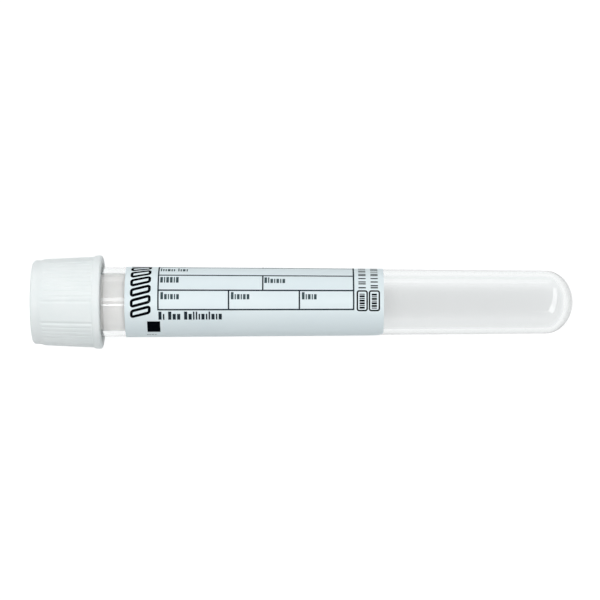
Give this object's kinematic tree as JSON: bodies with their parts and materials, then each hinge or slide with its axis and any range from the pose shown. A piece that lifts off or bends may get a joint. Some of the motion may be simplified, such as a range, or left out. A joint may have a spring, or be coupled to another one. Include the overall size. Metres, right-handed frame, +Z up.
{
  "type": "blood collection tube",
  "caption": "Evacuated blood sample tube with a round bottom, a wrap-round form label and a pull-off stopper cap with a ribbed grip.",
  "frame": {"origin": "on the table, below the middle of the lying tube: centre of the bounding box at its lowest plane", "axes": "+X along the lying tube from the cap towards the round bottom, +Y across it, +Z up out of the printed front"},
  "size_m": [0.1032, 0.0176, 0.0177],
  "materials": {
    "clear_pet": "clear injection-moulded PET, smooth and glossy",
    "label_film": "white self-adhesive film label with dark printed form lines",
    "label_ink": "flat black printing ink",
    "butyl_rubber": "pale grey moulded rubber, slightly waxy",
    "ring_plastic": "natural white moulded plastic",
    "white_cap_plastic": "white moulded polyethylene with a soft satin skin"
  },
  "bodies": {
    "tube": {"tube_body": "clear_pet", "label": "label_film"},
    "cap": {"cap_shell": "white_cap_plastic", "stopper": "butyl_rubber", "retaining_ring": "ring_plastic"}
  },
  "joints": [
    {"name": "cap_pull", "type": "slide", "parent": "tube", "child": "cap", "axis": [-0.9994, 0, 0.0343], "range_m": [0, 0.03]}
  ]
}
